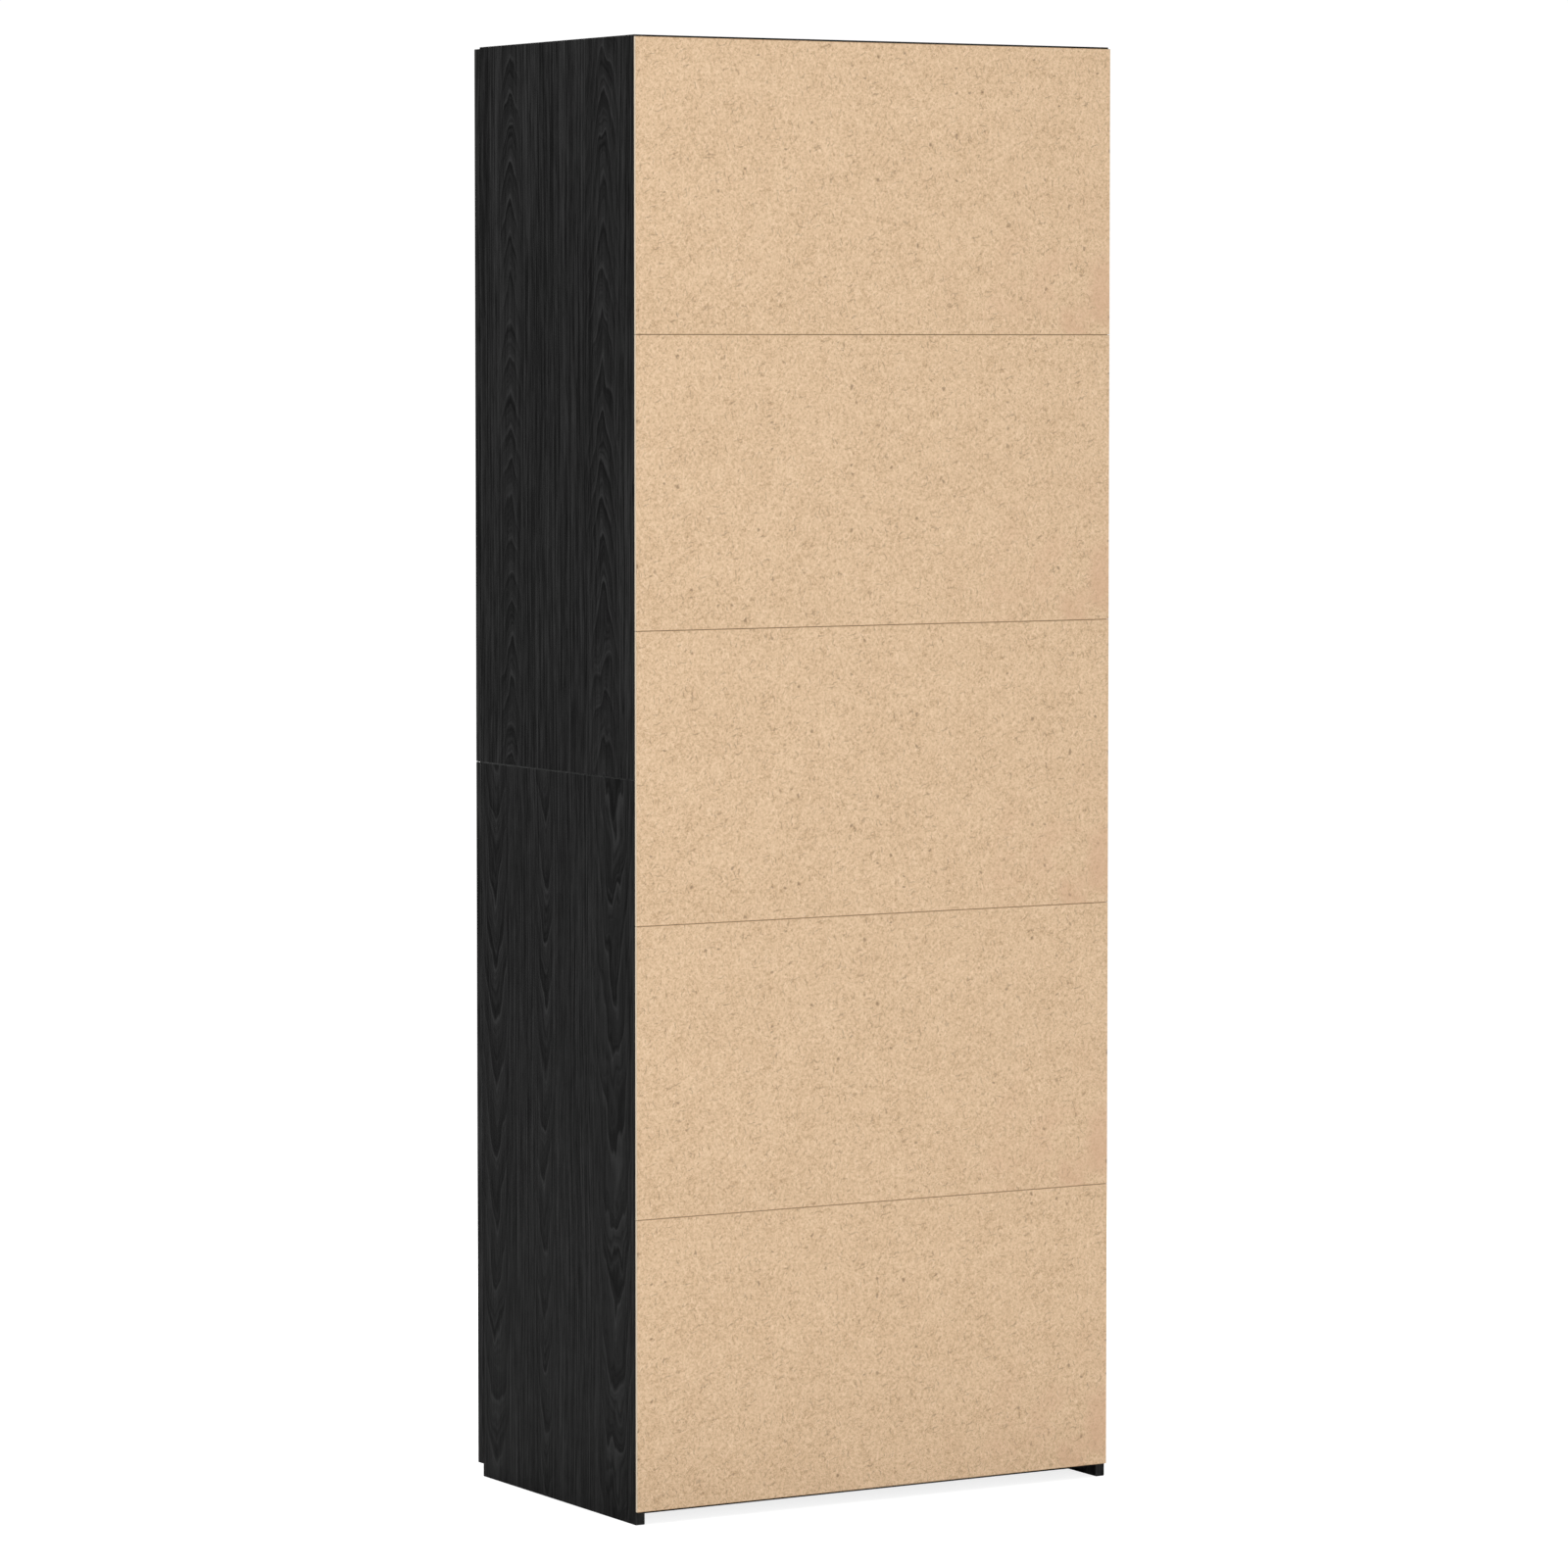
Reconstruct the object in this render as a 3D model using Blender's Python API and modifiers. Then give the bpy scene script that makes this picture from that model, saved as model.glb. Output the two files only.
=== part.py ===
"""Tall narrow wardrobe with four doors, as flat-pack furniture is built.

Metres, +Z up. The doors face -Y and the back faces +Y. The origin is on the floor, at the middle of
the whole footprint, handles included. Run it with: blender --background --python part.py

The side panels are in an upper and a lower piece, they stand on the floor as legs, and everything
else is held between them. Each door hangs on two concealed cup hinges. A hinge is a plate on the side
panel, an arm on the plate, a hooked link on a pin in the arm's nose, and a cup sunk in the door, with
a second pin that the link's other end turns on.
"""

import math

import bmesh
import bpy
from mathutils import Matrix, Vector

# Driving dimensions.
WIDTH = 0.698
DEPTH = 0.425  # doors' faces to back, without handles
HEIGHT = 1.850
BOARD = 0.013  # laminated board: sides, top, bottom, shelves and doors
BACK_BOARD = 0.004  # raw fibreboard
SEAM_Z = 0.9307  # where the side panels and the doors are split
BOTTOM_CLEARANCE = 0.014  # floor to bottom panel
HANDLE_REACH = 0.028
BACK_COUNT = 5

# Gaps and edges.
FIT = 0.0003  # between pieces that touch
DOOR_GAP = 0.0015  # doors' rear faces to the side panels' front edges
DOOR_SPLIT = 0.0005  # upper doors to lower doors
DOOR_MIDDLE_GAP = 0.003  # left doors to right doors
BACK_MARGIN_LOW = 0.0026  # bottom panel's underside to the back's lower edge
BACK_MARGIN_TOP = 0.0022
BACK_SEAM = 0.0005
DOOR_MARGIN = 0.0022  # bottom panel's underside and top panel's face to the doors
SHELF_SETBACK = 0.018
EDGE = 0.0006  # bevel on a board's edges
SOFT_EDGE = 0.0010

# Hinges, in a frame of their own: s runs inward from the side panel's outer face, and q runs forward
# from its front edge.
HINGE_FROM_DOOR_END = 0.100
LINK_PIN = Vector((0.0240, 0.0030))  # in the arm's nose
LINK_BEND = Vector((0.0117, 0.0060))
DOOR_PIN = Vector((0.0088, 0.0036))  # in the cup
PIN_RADIUS = 0.0011
PIN_HOLE_RADIUS = 0.0014
CUP_S = 0.0220
CUP_RADIUS = 0.0172
CUP_WALL = 0.0010
CUP_DEPTH = 0.0102  # below the door's rear face
CUP_RIM_RADIUS = 0.0185
CUP_RIM = 0.0008
WING_OFFSET = 0.0095  # cup's middle to its screws' line
WING_LENGTH = 0.054
WING_WIDTH = 0.011
WING_THICKNESS = 0.8 * CUP_RIM
LINK_HALF_HEIGHT = 0.0032
LINK_HALF_WIDTH = 0.0009
KNUCKLE_RADIUS = 0.0020
NOSE_RADIUS = 0.0026
ARM_HALF_HEIGHT = 0.0070
SLOT_HALF_HEIGHT = 0.0035
ARM_SLOPE = 0.0005  # the arm stands so much higher at its nose than at its rear
ARM_LENGTH = 0.058
PLATE = 0.0020
PLATE_SETBACK = 0.037  # side panel's front edge to the plate's screws
PLATE_WING_HALF_LENGTH = 0.025
PLATE_WING_HALF_WIDTH = 0.007
PLATE_STEM_HALF_WIDTH = 0.008
PLATE_FRONT = 0.020  # side panel's front edge to the two ends of the stem
PLATE_REAR = 0.060

# Dowels in the side panels' seam.
DOWEL_RADIUS = 0.0030
DOWEL_LENGTH = 0.036
DOWEL_INSET = 0.045  # from the side panel's front and rear edges

# Handles.
HANDLE_LENGTH = 0.140
HANDLE_BAR = 0.008
HANDLE_WIDTH = 0.010
HANDLE_CORNER = 0.010
HANDLE_CORNER_STEPS = 8
HANDLE_FROM_EDGE = 0.032  # door's meeting edge to the handle's middle
HANDLE_FROM_SEAM = 0.060

# Places that follow from them.
Y_BACK = (DEPTH + HANDLE_REACH) / 2
Y_SIDE_REAR = Y_BACK - BACK_BOARD - FIT
Y_DOOR_FRONT = Y_BACK - DEPTH
Y_DOOR_REAR = Y_DOOR_FRONT + BOARD
Y_SIDE_FRONT = Y_DOOR_REAR + DOOR_GAP
X_INNER = WIDTH / 2 - BOARD
BACK_LOW = BOTTOM_CLEARANCE + BACK_MARGIN_LOW
BACK_PITCH = (HEIGHT - BACK_MARGIN_TOP - BACK_LOW) / BACK_COUNT
DOOR_LOW = BOTTOM_CLEARANCE + DOOR_MARGIN
DOOR_TOP = HEIGHT - DOOR_MARGIN
Q_DOOR_REAR = DOOR_GAP
ROUND_STEPS = 32
PIN_STEPS = 10

SIDES = {"right": 1, "left": -1}  # +X and -X
# Lower and upper door: lowest and highest z.
DOOR_SPANS = {
    "lower": (DOOR_LOW, SEAM_Z - DOOR_SPLIT / 2),
    "upper": (SEAM_Z + DOOR_SPLIT / 2, DOOR_TOP),
}
# A turned piece's own +Z, and an extruded outline's own x, y and z, in the world.
MOUTH_TO_REAR = Matrix.Rotation(-math.pi / 2, 4, "X")
UPRIGHT = Matrix(((0, 0, -1, 0), (-1, 0, 0, 0), (0, 1, 0, 0), (0, 0, 0, 1)))


def clear_scene():
    for obj in list(bpy.data.objects):
        bpy.data.objects.remove(obj, do_unlink=True)


def new_collection(name):
    collection = bpy.data.collections.new(name)
    bpy.context.scene.collection.children.link(collection)
    return collection


def material(name, colour, roughness, metallic=0.0):
    made = bpy.data.materials.new(name)
    made.use_nodes = True
    shader = made.node_tree.nodes["Principled BSDF"]
    shader.inputs["Base Color"].default_value = (*colour, 1)
    shader.inputs["Roughness"].default_value = roughness
    shader.inputs["Metallic"].default_value = metallic
    return made


def add_object(name, data, collection, location=(0, 0, 0)):
    obj = bpy.data.objects.new(name, data)
    obj.location = location
    collection.objects.link(obj)
    return obj


def mesh_from(build):
    """A mesh made by a bmesh function."""
    shape = bmesh.new()
    build(shape)
    mesh = bpy.data.meshes.new("shape")
    shape.to_mesh(mesh)
    shape.free()
    return mesh


def block_mesh(size):
    return mesh_from(
        lambda shape: bmesh.ops.create_cube(shape, size=1, matrix=Matrix.Diagonal((*size, 1)))
    )


def rod_mesh(radius, length, steps, turn=Matrix()):
    """A cylinder along its own Z, before the turn."""
    return mesh_from(
        lambda shape: bmesh.ops.create_cone(
            shape,
            cap_ends=True,
            segments=steps,
            radius1=radius,
            radius2=radius,
            depth=length,
            matrix=turn,
        )
    )


def baked(obj):
    """The object's evaluated mesh, with its seams welded and its faces turned out. The object goes."""
    bpy.context.view_layer.update()
    graph = bpy.context.evaluated_depsgraph_get()
    mesh = bpy.data.meshes.new_from_object(obj.evaluated_get(graph))
    bpy.data.objects.remove(obj, do_unlink=True)
    shape = bmesh.new()
    shape.from_mesh(mesh)
    bmesh.ops.remove_doubles(shape, verts=shape.verts, dist=1e-6)
    bmesh.ops.recalc_face_normals(shape, faces=shape.faces)
    shape.to_mesh(mesh)
    shape.free()
    return mesh


def outline_mesh(points, thickness, turn=Matrix(), holes=()):
    """A flat outline, with holes, given a thickness about its own plane."""
    curve = bpy.data.curves.new("outline", "CURVE")
    curve.dimensions = "2D"
    curve.fill_mode = "BOTH"
    curve.extrude = thickness / 2
    for loop in (points, *holes):
        spline = curve.splines.new("POLY")
        spline.points.add(len(loop) - 1)
        for point, (x, y) in zip(spline.points, loop):
            point.co = (x, y, 0, 1)
        spline.use_cyclic_u = True
    mesh = baked(add_object("outline", curve, helpers))
    mesh.transform(turn)
    return mesh


def turned_mesh(profile, steps, turn=Matrix()):
    """A profile of (radius, height) points, run down its outer side, turned about Z."""
    mesh = bpy.data.meshes.new("profile")
    edges = [(i, i + 1) for i in range(len(profile) - 1)]
    mesh.from_pydata([(radius, 0, height) for radius, height in profile], edges, [])
    obj = add_object("turned", mesh, helpers)
    screw = obj.modifiers.new("turn", "SCREW")
    screw.steps = steps
    screw.render_steps = steps
    screw.use_merge_vertices = True
    screw.merge_threshold = 1e-5
    mesh = baked(obj)
    mesh.transform(turn)
    return mesh


def cutter(name, mesh, location):
    obj = add_object(name, mesh, cutters, location)
    obj.hide_render = True
    obj.display_type = "WIRE"
    return obj


def combine(obj, other, operation):
    modifier = obj.modifiers.new(operation.lower(), "BOOLEAN")
    modifier.operation = operation
    modifier.object = other
    modifier.solver = "EXACT"


def combined_mesh(mesh, *steps):
    """The mesh after Booleans with (operation, mesh, place) steps."""
    obj = add_object("base", mesh, helpers)
    others = []
    for operation, other_mesh, place in steps:
        others.append(add_object("other", other_mesh, helpers, place))
        combine(obj, others[-1], operation)
    made = baked(obj)
    for other in others:
        bpy.data.objects.remove(other, do_unlink=True)
    return made


def round_points(centre, radius, steps, start=0.0, sweep=math.tau):
    """Points on an arc. A full turn doesn't repeat its first point."""
    last = steps if abs(sweep) >= math.tau else steps - 1
    angles = [start + sweep * i / last for i in range(steps)]
    return [(centre[0] + radius * math.cos(a), centre[1] + radius * math.sin(a)) for a in angles]


def soften(obj, width, segments=1):
    bevel = obj.modifiers.new("edges", "BEVEL")
    bevel.width = width
    bevel.segments = segments
    bevel.limit_method = "ANGLE"


def part(name, mesh, finish, location, parent=None):
    """One sub-part, at a place in the world, held by a joint's empty or by nothing."""
    if not mesh.materials:
        mesh.materials.append(finish)
    obj = add_object(name, mesh, parts, location)
    if parent:
        obj.parent = parent
        obj.location = Vector(location) - parent.location
    return obj


def board(name, low, high, finish, edge=EDGE):
    """A flat board between two corners, with softened edges."""
    size = Vector(high) - Vector(low)
    obj = part(name, block_mesh(size), finish, (Vector(high) + Vector(low)) / 2)
    if edge:
        soften(obj, edge)
    return obj


def at_hinge(side, point, z=0.0):
    """A hinge frame's (s, q) point in the world."""
    return Vector((side * (WIDTH / 2 - point[0]), Y_SIDE_FRONT - point[1], z))


def from_pin(points, pin, side):
    """Points of the hinge frame as an outline in the world's x and y, about a pin."""
    return [(side * (pin[0] - s), pin[1] - q) for s, q in points]


# The case.


def side_panels():
    for word, side in SIDES.items():
        outer = side * WIDTH / 2
        inner = side * X_INNER
        x_low, x_high = min(outer, inner), max(outer, inner)
        for piece, (z_low, z_high) in {
            "lower": (0, SEAM_Z - FIT / 2),
            "upper": (SEAM_Z + FIT / 2, HEIGHT),
        }.items():
            panel = board(
                f"side_panel_{word}_{piece}",
                (x_low, Y_SIDE_FRONT, z_low),
                (x_high, Y_SIDE_REAR, z_high),
                laminate,
            )
            for place, y in dowel_places().items():
                bore = rod_mesh(DOWEL_RADIUS + FIT, DOWEL_LENGTH + 4 * FIT, PIN_STEPS)
                middle = ((outer + inner) / 2, y, SEAM_Z)
                hole = cutter(f"dowel_bore_{word}_{piece}_{place}", bore, middle)
                combine(panel, hole, "DIFFERENCE")
        for place, y in dowel_places().items():
            dowel = rod_mesh(DOWEL_RADIUS, DOWEL_LENGTH, PIN_STEPS)
            part(f"seam_dowel_{word}_{place}", dowel, beech, ((outer + inner) / 2, y, SEAM_Z))


def dowel_places():
    return {"front": Y_SIDE_FRONT + DOWEL_INSET, "rear": Y_SIDE_REAR - DOWEL_INSET}


def level_panels():
    x = X_INNER - FIT
    for name, low, y_front in (
        ("bottom_panel", BOTTOM_CLEARANCE, Y_SIDE_FRONT),
        ("top_panel", HEIGHT - BOARD, Y_SIDE_FRONT),
        *shelf_places(),
    ):
        board(name, (-x, y_front, low), (x, Y_SIDE_REAR, low + BOARD), laminate)


def shelf_places():
    """Each shelf's rear edge lies behind a seam of the back."""
    for number in range(1, BACK_COUNT):
        middle = BACK_LOW + number * BACK_PITCH
        yield f"shelf_{number}", middle - BOARD / 2, Y_SIDE_FRONT + SHELF_SETBACK


def back_panels():
    for number in range(BACK_COUNT):
        low = BACK_LOW + number * BACK_PITCH
        board(
            f"back_panel_{number + 1}",
            (-WIDTH / 2, Y_BACK - BACK_BOARD, low + BACK_SEAM / 2),
            (WIDTH / 2, Y_BACK, low + BACK_PITCH - BACK_SEAM / 2),
            fibreboard,
            edge=0,
        )


# The doors.


def hinge_heights(z_low, z_high):
    return {"low": z_low + HINGE_FROM_DOOR_END, "high": z_high - HINGE_FROM_DOOR_END}


def door(name, side, z_low, z_high, pivot):
    """A door, bored for its two hinge cups, on the empty at its pins."""
    x_edge = side * WIDTH / 2
    x_meeting = side * DOOR_MIDDLE_GAP / 2
    size = (abs(x_edge - x_meeting), BOARD, z_high - z_low)
    middle = ((x_edge + x_meeting) / 2, (Y_DOOR_FRONT + Y_DOOR_REAR) / 2, (z_low + z_high) / 2)
    panel = part(name, block_mesh(size), laminate, middle, pivot)
    soften(panel, EDGE)
    depth = CUP_DEPTH + FIT
    for place, z in hinge_heights(z_low, z_high).items():
        bore = rod_mesh(CUP_RADIUS + FIT, 2 * depth, ROUND_STEPS, MOUTH_TO_REAR)
        hole = cutter(f"{name}_bore_{place}", bore, at_hinge(side, (CUP_S, Q_DOOR_REAR), z))
        combine(panel, hole, "DIFFERENCE")


def handle_mesh():
    """A bridge handle: a bar on two posts, in one piece. It reaches out along its outline's x."""
    half = HANDLE_LENGTH / 2
    outer = HANDLE_CORNER
    inner = HANDLE_CORNER - HANDLE_BAR + SOFT_EDGE
    reach = HANDLE_REACH
    gap = reach - HANDLE_BAR
    points = [(FIT, half - HANDLE_BAR), (FIT, half)]
    steps = HANDLE_CORNER_STEPS
    points += round_points((reach - outer, half - outer), outer, steps, math.pi / 2, -math.pi / 2)
    points += round_points((reach - outer, outer - half), outer, steps, 0, -math.pi / 2)
    points += [(FIT, -half), (FIT, HANDLE_BAR - half)]
    post = half - HANDLE_BAR
    steps = HANDLE_CORNER_STEPS // 2
    points += round_points((gap - inner, inner - post), inner, steps, -math.pi / 2, math.pi / 2)
    points += round_points((gap - inner, post - inner), inner, steps, 0, math.pi / 2)
    return outline_mesh(points, HANDLE_WIDTH, UPRIGHT)


# The hinges. Each shape is made once for a side, about its own pin, and then copied.


def plate_mesh():
    """A cross with its long arms up and down, under the hinge's arm."""
    stem, wing = PLATE_STEM_HALF_WIDTH, PLATE_WING_HALF_LENGTH
    near, far = PLATE_SETBACK - PLATE_WING_HALF_WIDTH, PLATE_SETBACK + PLATE_WING_HALF_WIDTH
    half = [(-PLATE_FRONT, stem), (-near, stem), (-near, wing)]
    half += [(-far, wing), (-far, stem), (-PLATE_REAR, stem)]
    points = half + [(x, -y) for x, y in reversed(half)]
    return outline_mesh(points, PLATE, UPRIGHT)


def arm_mesh(side):
    """The arm's body, the slot in its nose that the link swings in, and the pin across the slot."""
    s_plate = BOARD + FIT + PLATE + FIT
    pin = LINK_PIN
    s_face = pin.x + NOSE_RADIUS
    neck = pin.y - NOSE_RADIUS
    outline = [(s_plate, -ARM_LENGTH), (s_plate, -3 * NOSE_RADIUS)]
    outline += [(pin.x - NOSE_RADIUS - EDGE, neck)]
    outline += round_points(pin, NOSE_RADIUS, 7, math.pi, -math.pi)
    outline += [(s_face + ARM_SLOPE, -2 * NOSE_RADIUS), (s_face, 3 * NOSE_RADIUS - ARM_LENGTH)]
    outline += [(pin.x, -ARM_LENGTH)]
    body = outline_mesh(from_pin(outline, pin, side), 2 * ARM_HALF_HEIGHT)
    slot = block_mesh((4 * NOSE_RADIUS, 3 * NOSE_RADIUS, 2 * SLOT_HALF_HEIGHT))
    slot_place = (0, -NOSE_RADIUS / 2 - FIT, 0)
    rod = rod_mesh(PIN_RADIUS, 2 * ARM_HALF_HEIGHT - 2 * SOFT_EDGE, PIN_STEPS)
    return combined_mesh(body, ("DIFFERENCE", slot, slot_place), ("UNION", rod, (0, 0, 0)))


def strap_outline(start, bend, end):
    """A bent strap with a round knuckle at each end."""
    first = (bend - start).normalized()
    last = (end - bend).normalized()
    flare = math.asin(LINK_HALF_WIDTH / KNUCKLE_RADIUS)
    sweep = math.tau - 2 * flare
    first_angle = math.atan2(first.y, first.x)
    last_angle = math.atan2(-last.y, -last.x)
    mitre = (last.orthogonal() + first.orthogonal()).normalized()
    mitre *= LINK_HALF_WIDTH / mitre.dot(first.orthogonal())
    points = round_points(start, KNUCKLE_RADIUS, 9, first_angle + flare, sweep)
    points.append(tuple(bend - mitre))
    points += round_points(end, KNUCKLE_RADIUS, 9, last_angle + flare, sweep)
    points.append(tuple(bend + mitre))
    return points


def link_mesh(side):
    """The hooked link, about the pin in the arm's nose."""
    holes = [round_points(pin, PIN_HOLE_RADIUS, PIN_STEPS) for pin in (LINK_PIN, DOOR_PIN)]
    outline = strap_outline(DOOR_PIN, LINK_BEND, LINK_PIN)
    return outline_mesh(
        from_pin(outline, LINK_PIN, side),
        2 * LINK_HALF_HEIGHT,
        holes=[from_pin(hole, LINK_PIN, side) for hole in holes],
    )


def cup_mesh(side):
    """The cup, its two screw wings, and the pin across it near its wall, about that pin."""
    inner = CUP_RADIUS - CUP_WALL
    rim_low, rim_high = FIT, FIT + CUP_RIM
    profile = [
        (0, CUP_WALL - CUP_DEPTH),
        (inner, CUP_WALL - CUP_DEPTH),
        (inner, rim_high),
        (CUP_RIM_RADIUS, rim_high),
        (CUP_RIM_RADIUS, rim_low),
        (CUP_RADIUS, rim_low),
        (CUP_RADIUS, -CUP_DEPTH),
        (0, -CUP_DEPTH),
    ]
    cup = turned_mesh(profile, ROUND_STEPS, MOUTH_TO_REAR)
    wing = combined_mesh(
        block_mesh((WING_WIDTH, WING_THICKNESS, WING_LENGTH)),
        (
            "DIFFERENCE",
            rod_mesh((inner + CUP_RIM_RADIUS) / 2, CUP_DEPTH, ROUND_STEPS, MOUTH_TO_REAR),
            (side * WING_OFFSET, 0, 0),
        ),
    )
    wing_place = (-side * WING_OFFSET, (rim_low + rim_high) / 2, 0)
    rod_place = Vector((side * (CUP_S - DOOR_PIN.x), Q_DOOR_REAR - DOOR_PIN.y, 0))
    mid_wall = rod_mesh((inner + CUP_RADIUS) / 2, 2 * CUP_DEPTH, ROUND_STEPS, MOUTH_TO_REAR)
    rod = combined_mesh(
        rod_mesh(PIN_RADIUS, 2 * CUP_RADIUS, PIN_STEPS), ("INTERSECT", mid_wall, -rod_place)
    )
    made = combined_mesh(cup, ("UNION", wing, wing_place), ("UNION", rod, rod_place))
    made.transform(Matrix.Translation(-rod_place))
    return made


def axis_empty(name, place, parent=None):
    """An empty on a joint's upright axis."""
    empty = add_object(name, None, parts, place)
    if parent:
        empty.parent = parent
        empty.location = Vector(place) - parent.location
    return empty


def hang_doors():
    """Each side's doors, with the links and hinges that carry them."""
    plate = plate_mesh()
    for word, side in SIDES.items():
        arm, link, cup = arm_mesh(side), link_mesh(side), cup_mesh(side)
        handle = handle_mesh()
        for piece, (z_low, z_high) in DOOR_SPANS.items():
            tag = f"{word}_{piece}"
            link_axis = axis_empty(f"link_axis_{tag}", at_hinge(side, LINK_PIN))
            door_axis = axis_empty(f"door_axis_{tag}", at_hinge(side, DOOR_PIN))
            door(f"door_{tag}", side, z_low, z_high, door_axis)
            for place, z in hinge_heights(z_low, z_high).items():
                end = f"{tag}_{place}"
                plate_x = side * (X_INNER - FIT - PLATE / 2)
                part(f"hinge_plate_{end}", plate, steel, (plate_x, Y_SIDE_FRONT, z))
                part(f"hinge_arm_{end}", arm, steel, at_hinge(side, LINK_PIN, z))
                part(f"hinge_link_{end}", link, steel, at_hinge(side, LINK_PIN, z), link_axis)
                part(f"hinge_cup_{end}", cup, steel, at_hinge(side, DOOR_PIN, z), door_axis)
            away = HANDLE_FROM_SEAM + HANDLE_LENGTH / 2
            handle_z = SEAM_Z + (away if piece == "upper" else -away)
            handle_x = side * (DOOR_MIDDLE_GAP / 2 + HANDLE_FROM_EDGE)
            place = (handle_x, Y_DOOR_FRONT, handle_z)
            soften(part(f"handle_{tag}", handle, black_metal, place, door_axis), SOFT_EDGE)


clear_scene()
parts = new_collection("wardrobe")
cutters = new_collection("cutters")
helpers = new_collection("helpers")
laminate = material("black_oak_laminate", (0.020, 0.020, 0.020), 0.45)
fibreboard = material("raw_fibreboard", (0.686, 0.491, 0.314), 0.85)
steel = material("plated_steel", (0.55, 0.55, 0.56), 0.30, 1.0)
black_metal = material("black_handle_metal", (0.015, 0.015, 0.015), 0.40, 0.6)
beech = material("beech_dowel", (0.60, 0.42, 0.25), 0.70)
side_panels()
level_panels()
back_panels()
hang_doors()
bpy.data.collections.remove(helpers)
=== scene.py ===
"""The looks of the tall narrow wardrobe: finishes, small fittings, studio light and camera.

Metres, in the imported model's own frame: +Z up, the doors face -Y and the back faces +Y.
"""

import math

import bmesh
import bpy
from mathutils import Matrix, Vector


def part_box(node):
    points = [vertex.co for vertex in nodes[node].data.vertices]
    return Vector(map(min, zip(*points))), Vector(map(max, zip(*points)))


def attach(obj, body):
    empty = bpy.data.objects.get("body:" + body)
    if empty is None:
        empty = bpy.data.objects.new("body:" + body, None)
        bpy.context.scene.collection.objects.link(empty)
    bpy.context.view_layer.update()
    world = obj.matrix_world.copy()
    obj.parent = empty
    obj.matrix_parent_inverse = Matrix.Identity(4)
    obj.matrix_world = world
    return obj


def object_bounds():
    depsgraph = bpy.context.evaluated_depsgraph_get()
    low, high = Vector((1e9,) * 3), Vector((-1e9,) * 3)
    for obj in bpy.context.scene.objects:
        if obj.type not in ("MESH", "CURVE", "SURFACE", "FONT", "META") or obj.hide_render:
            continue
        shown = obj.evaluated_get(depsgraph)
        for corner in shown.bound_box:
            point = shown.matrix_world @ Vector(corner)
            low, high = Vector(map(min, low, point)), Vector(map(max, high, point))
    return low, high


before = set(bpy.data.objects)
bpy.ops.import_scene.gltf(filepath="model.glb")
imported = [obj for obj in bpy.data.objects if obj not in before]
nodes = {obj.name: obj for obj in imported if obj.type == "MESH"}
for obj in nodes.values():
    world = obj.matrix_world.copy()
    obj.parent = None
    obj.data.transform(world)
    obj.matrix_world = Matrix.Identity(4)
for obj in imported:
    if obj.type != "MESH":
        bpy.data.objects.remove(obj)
cad_low, cad_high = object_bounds()
SIDES = {"right": 1, "left": -1}
PIECES = ("lower", "upper")
ENDS = ("low", "high")
X, Y, Z = range(3)
BACK_PANELS = sorted(name for name in nodes if name.startswith("back_panel_"))
SHELVES = sorted(name for name in nodes if name.startswith("shelf_"))
LEVEL_BOARDS = ("bottom_panel", *SHELVES, "top_panel")
SEAM_Z = (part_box("side_panel_right_lower")[1].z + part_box("side_panel_right_upper")[0].z) / 2


# Camera. It stands behind the wardrobe and to its right, and looks a little down.

LENS = 147.816
CAMERA_PLACE = (4.2266, 7.1651, 1.4727)
CAMERA_TURN = math.radians(149.486)
CAMERA_DIP = math.radians(3.374)
CAMERA_SHIFT = -0.04
FARTHEST_SEEN = 200


def make_camera():
    data = bpy.data.cameras.new("camera")
    data.lens = LENS
    data.shift_y = CAMERA_SHIFT
    data.clip_end = FARTHEST_SEEN
    camera = bpy.data.objects.new("camera", data)
    camera.location = CAMERA_PLACE
    camera.rotation_euler = (math.pi / 2 - CAMERA_DIP, 0, CAMERA_TURN)
    bpy.context.scene.collection.objects.link(camera)
    bpy.context.scene.camera = camera


# Materials are made with this.


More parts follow.
